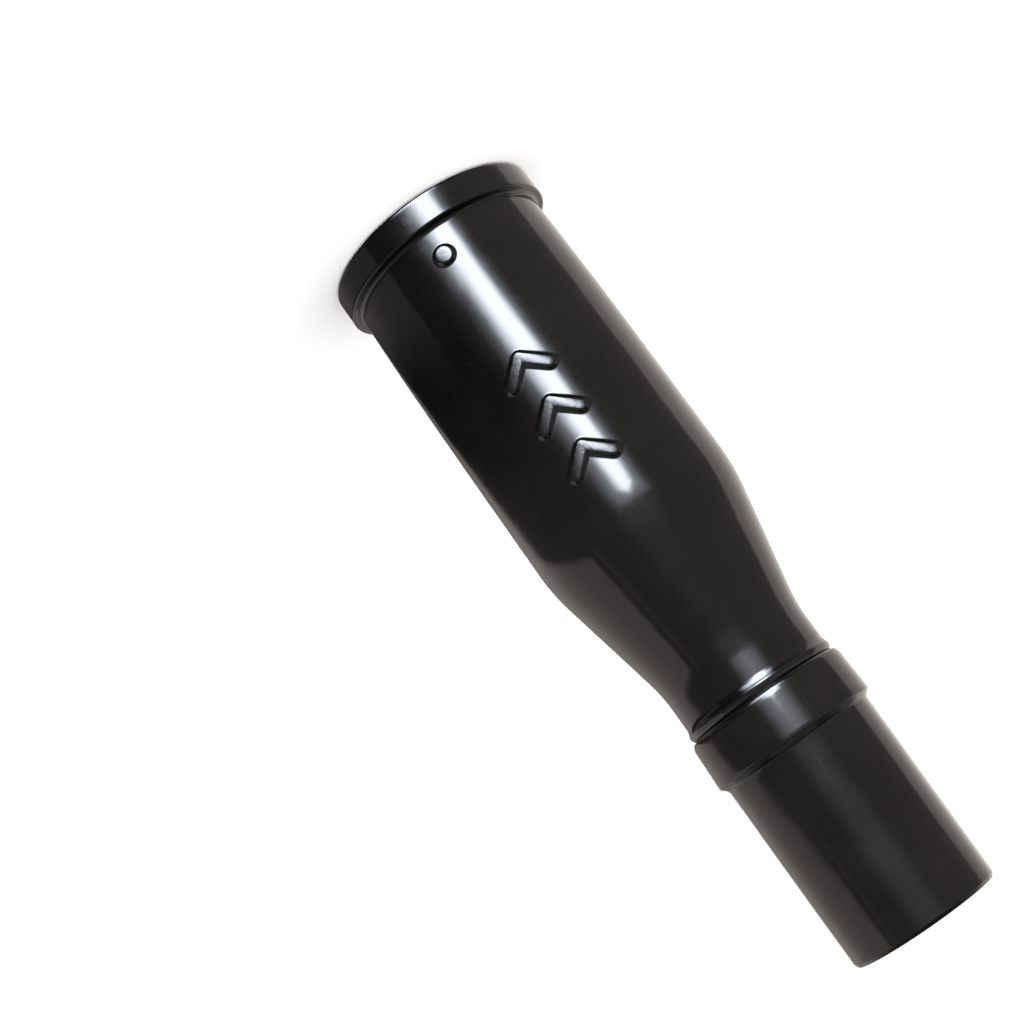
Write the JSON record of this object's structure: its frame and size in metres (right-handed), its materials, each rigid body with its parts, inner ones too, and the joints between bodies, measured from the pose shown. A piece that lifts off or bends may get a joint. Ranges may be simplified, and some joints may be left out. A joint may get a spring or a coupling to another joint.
{
  "type": "spark plug cap",
  "caption": "Straight suppressor spark plug cap: flanged glossy moulded body tapering to a neck, with a banded rubber boot for the ignition lead.",
  "frame": {"origin": "centre of the flange's end face, where the plug goes in and where the cap stands", "axes": "+Z along the cap's axis towards the lead; -Y through the middle of the raised marks on the skirt"},
  "size_m": [0.024, 0.024, 0.085],
  "materials": {
    "phenolic": "glossy black phenolic moulding",
    "boot_rubber": "satin black moulded rubber",
    "seal_rubber": "matt black moulded rubber",
    "brass": "turned brass",
    "spring_steel": "drawn spring wire",
    "fibre": "pressed fibre",
    "ceramic": "unglazed ceramic",
    "plating": "plated pressed cup"
  },
  "bodies": {
    "root": {"cap_body": "phenolic", "cable_boot": "boot_rubber", "plug_seal": "seal_rubber", "plug_terminal": "brass", "terminal_clip": "spring_steel", "terminal_washer": "fibre", "resistor_rod": "ceramic", "resistor_cap_plug_side": "plating", "resistor_cap_cable_side": "plating", "contact_spring": "spring_steel", "cable_insert": "brass", "cable_screw": "brass"}
  },
  "joints": []
}
